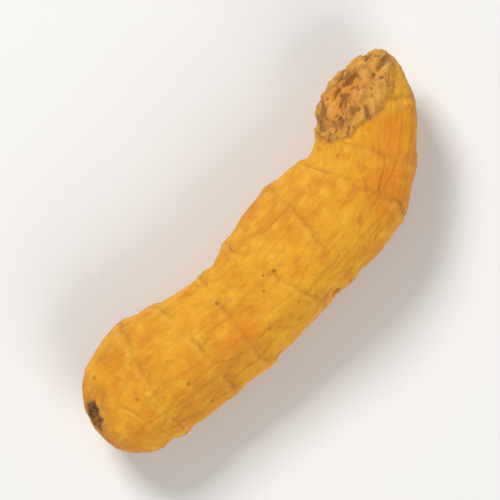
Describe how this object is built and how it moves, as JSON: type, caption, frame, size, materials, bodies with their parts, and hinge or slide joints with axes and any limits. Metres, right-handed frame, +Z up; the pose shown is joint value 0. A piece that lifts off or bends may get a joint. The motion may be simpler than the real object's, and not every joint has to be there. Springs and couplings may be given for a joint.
{
  "type": "dried turmeric root",
  "caption": "Whole dried turmeric finger, a bent club of rhizome with leaf-scar rings, a round growing end and an oblique broken end, lying on a flat spot.",
  "frame": {"origin": "on the resting plane, under the middle of the finger's box", "axes": "+X along the finger from the round growing end to the broken end, +Z up from the resting spot, the finger bows towards -Y"},
  "size_m": [0.0298, 0.0112, 0.0075],
  "materials": {
    "dried_skin": "dry, dusty, yellow-orange rhizome skin"
  },
  "bodies": {
    "root": {"turmeric_root": "dried_skin"}
  },
  "joints": []
}
